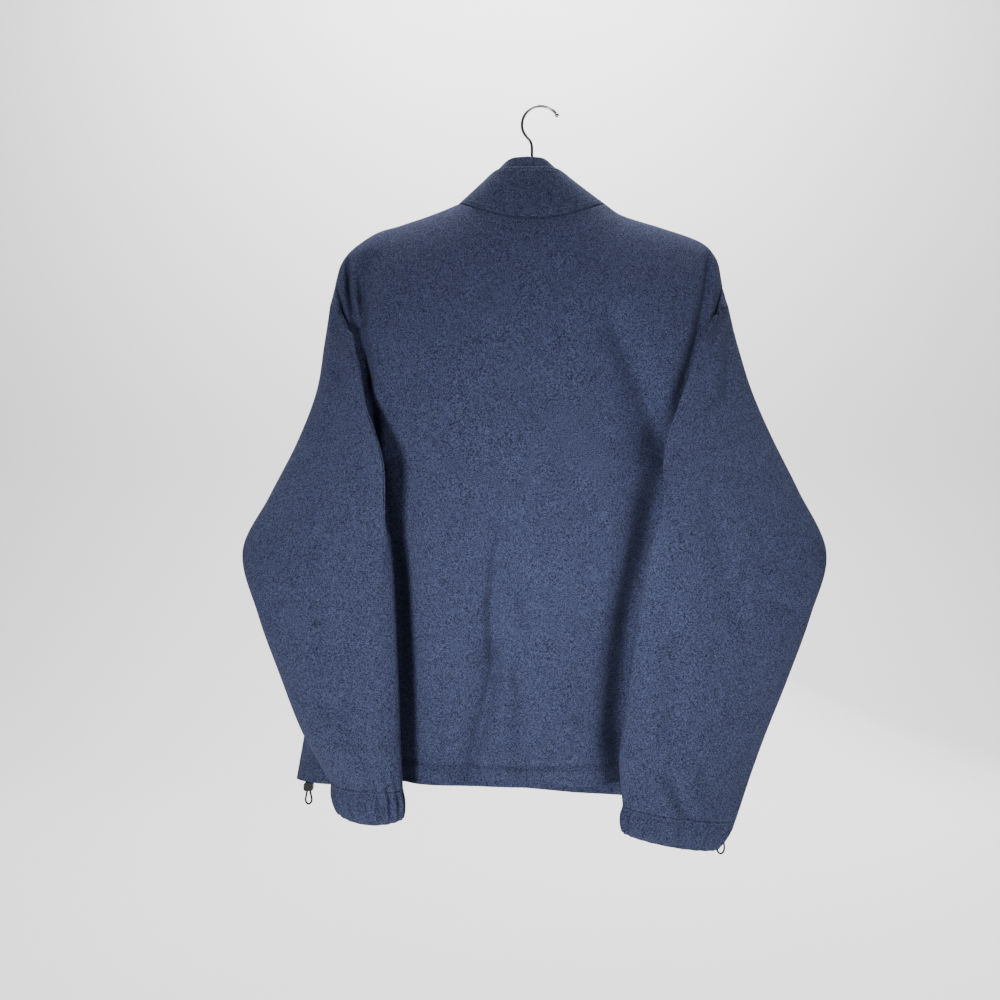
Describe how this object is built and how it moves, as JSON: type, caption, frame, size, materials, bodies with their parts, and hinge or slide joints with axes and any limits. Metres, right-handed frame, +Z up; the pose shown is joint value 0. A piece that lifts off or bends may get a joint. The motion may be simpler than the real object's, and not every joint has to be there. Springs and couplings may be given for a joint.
{
  "type": "fleece zip jacket on a clothes hanger",
  "caption": "Navy fleece jacket with a stand collar, front zip, long sleeves with gathered cuffs and a drawcord hem, hanging from a clothes hanger with a wire hook.",
  "frame": {"origin": "the point inside the top of the hook's bow, where the hanger hangs from a rail", "axes": "+Z up, -Y out of the jacket's front (the picture looks at its back from +Y), +X the jacket's own left side"},
  "size_m": [0.6774, 0.1808, 0.8968],
  "materials": {
    "fleece": "matte brushed fleece with a short, mottled nap",
    "tape": "matte woven tape",
    "zip_metal": "satin",
    "cord": "braided elastic",
    "lock": "satin moulded plastic",
    "hanger": "lacquered",
    "hook": "polished wire"
  },
  "bodies": {
    "garment": {"back": "fleece", "front_left": "fleece", "front_right": "fleece", "sleeve_left": "fleece", "sleeve_right": "fleece", "cuff_left": "fleece", "cuff_right": "fleece", "collar": "fleece", "collar_inner": "fleece", "zip_tape_left": "tape", "zip_tape_right": "tape", "zip_end_left": "tape", "zip_end_right": "tape", "zip_chain": "tape", "zip_slider": "zip_metal", "zip_stop": "zip_metal", "cord_left": "cord", "cord_right": "cord", "lock_left": "lock", "lock_right": "lock", "hanger": "hanger", "hanger_hook": "hook"},
    "pull": {"zip_pull": "zip_metal"}
  },
  "joints": [
    {"name": "pull_swing", "type": "hinge", "parent": "garment", "child": "pull", "pos_m": [0.01091, -0.05776, -0.20783], "axis": [-1, 0, 0], "range_deg": [0, 150]}
  ]
}
